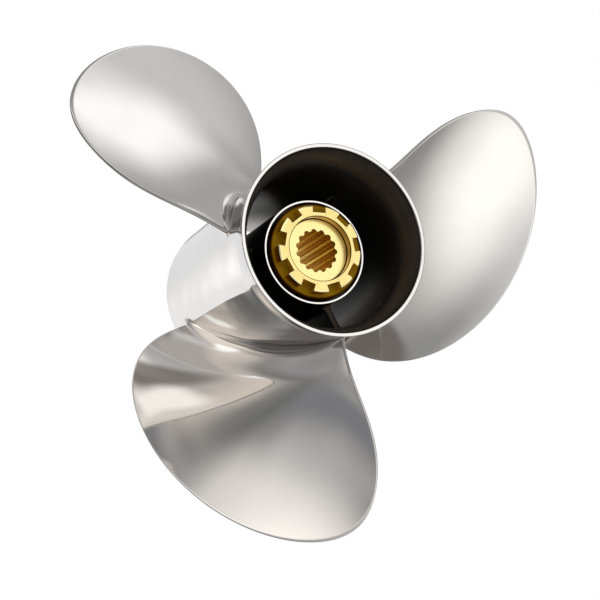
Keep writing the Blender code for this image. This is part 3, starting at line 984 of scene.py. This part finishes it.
def splineSector():
    edge, floor, front = sleeve["splineEdge"], sleeve["aft"] - sleeve["seatDepth"], sleeve["front"]
    land, taper, depth = sleeve["landRadius"], sleeve["taperRadius"], sleeve["taperDepth"]
    outline = splineOutline()
    half = math.pi / sleeve["splines"]
    ray = rays(np.linspace(-half, half, len(outline)))
    size = np.linalg.norm(outline, axis=1)[:, None]
    deep = ease(land, sleeve["grooveCentre"] + sleeve["grooveDeep"] * sleeve["grooveRadius"], size[:, 0])
    # painted shade down the grooves, and a painted sheen on the lands
    shade, wearAndSheen = sleeve["grooveShade"] * deep, sleeve["landSheen"] * (1 - ease(0, sleeve["landBlend"], deep))
    taperTop = front + depth

    rings = [(ray * sleeve["frontJoint"], front, 0, 0), (ray * (taper + edge), front, 0, 1)]
    for z in np.linspace(front + edge, taperTop, sleeve["taperSteps"] + 1):
        cone = land + (taper - land) * (taperTop - z) / depth
        rings.append((outline * np.maximum(size, cone) / size, z, 0, 0))
    rings += [(outline, taperTop + 2 * edge, shade, wearAndSheen), (outline, floor - 2 * edge, shade, wearAndSheen)]
    for inset, z in quarterTurn((0, floor - edge), (0, floor), (-edge, floor), sleeve["seatSteps"][0]):
        # painted dark line of shade along the grooves' top edges
        rings.append((offset(outline, inset), z, deep, 0, deep))
    rings += [(offset(outline, -2 * edge), floor, 0, 0), (ray * sleeve["aftJoint"], floor, 0, 0)]
    return sectorPiece("splineSector", rings)


# Makes one piece of two, and closes the two rings between them, where the counts of points differ
def joinPieces(piece, other):
    bm = bmesh.new()
    bm.from_mesh(piece.data)
    bm.from_mesh(other.data)
    bmesh.ops.remove_doubles(bm, verts=bm.verts, dist=sleeve["weld"])
    middle = (sleeve["aft"] + sleeve["front"]) / 2
    for side in (1, -1):
        rims = [e for e in bm.edges if e.is_boundary and side * (e.verts[0].co.z - middle) > 0]
        bmesh.ops.bridge_loops(bm, edges=rims)
    bmesh.ops.recalc_face_normals(bm, faces=bm.faces)
    bm.to_mesh(piece.data)
    bm.free()
    piece.data.shade_smooth()
    piece.data.set_sharp_from_angle(angle=sharpAngle)
    level = 0.9999                               # faces this near to level stay flat in shading
    for face in piece.data.polygons:
        face.use_smooth = abs(face.normal.z) < level
    bpy.data.objects.remove(other)


driveSleeve = applyTree(lugSector(), roundTree,
                        roundValues(sleeve["lugs"], sleeve["lugAngle"], brass, sleeve["weld"]))
splinePart = applyTree(splineSector(), roundTree,
                       roundValues(sleeve["splines"], sleeve["splineAngle"], brass, sleeve["weld"]))
print("sleeve sectors:", len(driveSleeve.data.polygons), "and", len(splinePart.data.polygons), "faces")
joinPieces(driveSleeve, splinePart)
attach(driveSleeve, "root")
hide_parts("drive_sleeve")


def makeFlange():
    aft, forward = flange["aft"], flange["aft"] - flange["thickness"]
    corners = [(flange["radius"], aft), (flange["radius"], forward), (flange["bore"], forward),
               (flange["bore"], aft), (flange["shadeBand"][0], aft, 0)]
    return turned("sleeveFlange", rounded(corners, flange["edge"]), flange["steps"])


flangeRing = makeFlange()
flangeRing.data.materials.append(flangeBrass)
# painted shade: a dark band on the aft face next to the gap at the hub
pointValues(flangeRing, "shade", ease(*flange["shadeBand"], pointPlaces(flangeRing)[0]))
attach(flangeRing, "root")
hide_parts("sleeve_flange")


def makeBushing():
    aft, front = bushing["aft"], bushing["front"]
    inner, outer, depth = bushing["groove"]
    lean = depth / 3                             # how far the groove's walls lean in
    corners = [(bushing["outer"], aft), (bushing["outer"], front), (outer, front),
               (outer - lean, front + depth), (inner + lean, front + depth), (inner, front),
               (bushing["bore"], front), (bushing["bore"], aft)]
    return turned("rubberBushing", rounded(corners, bushing["edge"]), bushing["steps"])


rubberRing = makeBushing()
rubberRing.data.materials.append(rubber)
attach(rubberRing, "root")
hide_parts("rubber_bushing")
print("drive:", len(driveSleeve.data.polygons), "faces in the sleeve")


# Camera

view = {
    "lens": 99.32,
    "sensor": 36,
    "farthest": 20,                              # how far the camera sees
    "place": (0.17209, 0.40509, 0.97911),
    "turn": (13.6486, -22.1873, -148.3547),
}
camera = bpy.data.cameras.new("camera")
camera.lens = view["lens"]
camera.sensor_width = view["sensor"]
camera.clip_end = view["farthest"]
eye = bpy.data.objects.new("camera", camera)
eye.location = view["place"]
eye.rotation_euler = [math.radians(a) for a in view["turn"]]
bpy.context.scene.collection.objects.link(eye)
bpy.context.scene.camera = eye
bpy.context.scene.view_settings.view_transform = "Standard"


# Light: a tent of soft panels all round, each laid over those before it. Directions and sizes in degrees:
# azimuth from +X, elevation, turn, half width, half height, softness of the edge, then its colour as light

tent = {
    "between": (0.32, 0.305, 0.30),
    "panels": {
        "overhead": (-126, 60, -22, 54, 28, 0.8, (1.11, 1.07, 1.01)),
        "floor": (-24, -83, 8, 42, 61, 0.5, (1.00, 0.99, 0.99)),
        "left wide": (-113, 16, -1, 29, 34, 0.45, (0.68, 0.67, 0.665)),
        "left key": (-108, 5, -28, 11, 15, 0.65, (1.24, 1.22, 1.20)),
        "upper middle": (-12, 38, -19, 39, 6, 0.4, (0.52, 0.505, 0.495)),
        "upper bar": (-45, 51, 34, 16, 13, 0.86, (1.28, 1.22, 1.15)),
        "upper right grey": (18, 30, 3, 45, 9, 0.74, (0.23, 0.23, 0.24)),
        "cream strip": (-43, 22, -2, 23, 7, 0.3, (0.56, 0.51, 0.47)),
        "dark band": (-19, 25, -15, 44, 4, 0.6, (0.155, 0.16, 0.16)),
        "cream": (29, -14, -18, 64, 18, 0.58, (0.93, 0.83, 0.74)),
        "white band": (-2, 3, 0, 21, 3, 0.35, (1.27, 1.25, 1.21)),
        "low panel": (28, -48, 10, 52, 18, 0.16, (1.41, 1.35, 1.29)),
        "slanted shade": (6, -42, -41, 39, 10, 0.39, (0.30, 0.27, 0.25)),
        "dark right": (82, 2, 8, 34, 22, 0.13, (0.12, 0.11, 0.10)),
        "dark upper right": (55, 19, 3, 23, 8, 0.48, (0.175, 0.16, 0.16)),
        "right wide": (116, 66, -2, 70, 13, 0.55, (0.33, 0.33, 0.33)),
        "right key": (154, 48, -42, 22, 12, 0.83, (1.32, 1.28, 1.23)),
        "right shade": (84, 49, -30, 18, 3, 0.35, (0.19, 0.17, 0.16)),
        "low right": (153, -20, 0, 49, 9, 0.63, (0.21, 0.19, 0.17)),
        "left shade": (-82, 11, -15, 20, 23, 0.23, (0.24, 0.235, 0.24)),
        "left low shade": (-66, -19, -1, 10, 4, 0.6, (0.11, 0.11, 0.11)),
        "left bar": (-50, 7, 1, 23, 6, 0.39, (0.49, 0.455, 0.43)),
        "right bar": (132, 7, 0, 18, 10, 0.5, (0.35, 0.33, 0.32)),
        "lower left": (-60, -32, 0, 16, 8, 0.5, (0.50, 0.48, 0.46)),
        "high right": (67, 71, 13, 27, 10, 0.38, (0.75, 0.745, 0.74)),
        "lower right": (71, -21, 1, 17, 11, 0.53, (1.02, 0.95, 0.87)),
        "level": (-113, 66, 0, 8, 8, 0.3, (1.32, 1.30, 1.27)),
        "low behind": (-78, -70, 0, 36, 20, 0.6, (0.84, 0.84, 0.85)),
        "outline": (-113, -66, 0, 10, 10, 0.5, (0.25, 0.25, 0.26)),
    },
    "horizon": (-0.05, 0.05),                    # where a panel's mask ends, half way round from its middle
    "background": (1.0, 1.0, 1.0, 1.0),
}


def panelGroup():
    tree, given, made = shaderGroup("soft panel", ["Direction"],
                                    ["Azimuth", "Elevation", "Turn", "Width", "Height", "Softness"], ["Mask"])
    facing = given["Direction"]
    for axis, angle in (("Z_AXIS", maths(tree, "MULTIPLY", given["Azimuth"], -1.0)),
                        ("Y_AXIS", given["Elevation"]),
                        ("X_AXIS", maths(tree, "MULTIPLY", given["Turn"], -1.0))):
        facing = wire(tree, "ShaderNodeVectorRotate", {"Vector": facing, "Angle": angle},
                      rotation_type=axis).outputs[0]
    x, y, z = wire(tree, "ShaderNodeSeparateXYZ", {0: facing}).outputs
    away = hypotenuse(tree, maths(tree, "DIVIDE", y, given["Width"]),
                      maths(tree, "DIVIDE", z, given["Height"]))
    mask = remap(tree, away, maths(tree, "ADD", 1.0, given["Softness"]),
                 maths(tree, "SUBTRACT", 1.0, given["Softness"]))
    front = remap(tree, x, *tent["horizon"], smooth=False)
    tree.links.new(maths(tree, "MULTIPLY", mask, front), made["Mask"])
    return tree


groups["panel"] = panelGroup()
world = bpy.data.worlds.new("light tent")
world.use_nodes = True
tree = world.node_tree
direction = wire(tree, "ShaderNodeTexCoord").outputs["Generated"]
light = wire(tree, "ShaderNodeRGB").outputs[0]
light.default_value = (*tent["between"], 1)
for azimuth, elevation, turn, wide, high, softness, colour in tent["panels"].values():
    azimuth, elevation, turn, wide, high = [math.radians(a) for a in (azimuth, elevation, turn, wide, high)]
    mask = useGroup(tree, "panel", {
        "Direction": direction, "Azimuth": azimuth, "Elevation": elevation, "Turn": turn,
        "Width": math.sin(wide), "Height": math.sin(high), "Softness": softness})["Mask"]
    light = blendColour(tree, mask, light, (*colour, 1))
seen = wire(tree, "ShaderNodeLightPath").outputs["Is Camera Ray"]
tree.links.new(blendColour(tree, seen, light, tent["background"]), tree.nodes["Background"].inputs["Color"])
bpy.context.scene.world = world


# Floor: pale, lit evenly, and kept out of the reflections, which the tent gives

floorLook = {"size": 3.0, "drop": 0.0005, "colour": (1.0, 1.0, 1.0, 1.0)}
bpy.ops.mesh.primitive_plane_add(size=floorLook["size"], location=(0, 0, -floorLook["drop"]))
floor = bpy.context.object
floor.name = "floor"
floor.visible_glossy = floor.visible_diffuse = floor.visible_shadow = False
paper = bpy.data.materials.new("pale floor")
paper.use_nodes = True
glow = wire(paper.node_tree, "ShaderNodeEmission", {"Color": floorLook["colour"], "Strength": 1.0})
paper.node_tree.links.new(glow.outputs[0], paper.node_tree.nodes["Material Output"].inputs["Surface"])
floor.data.materials.append(paper)
print("camera, light and floor")
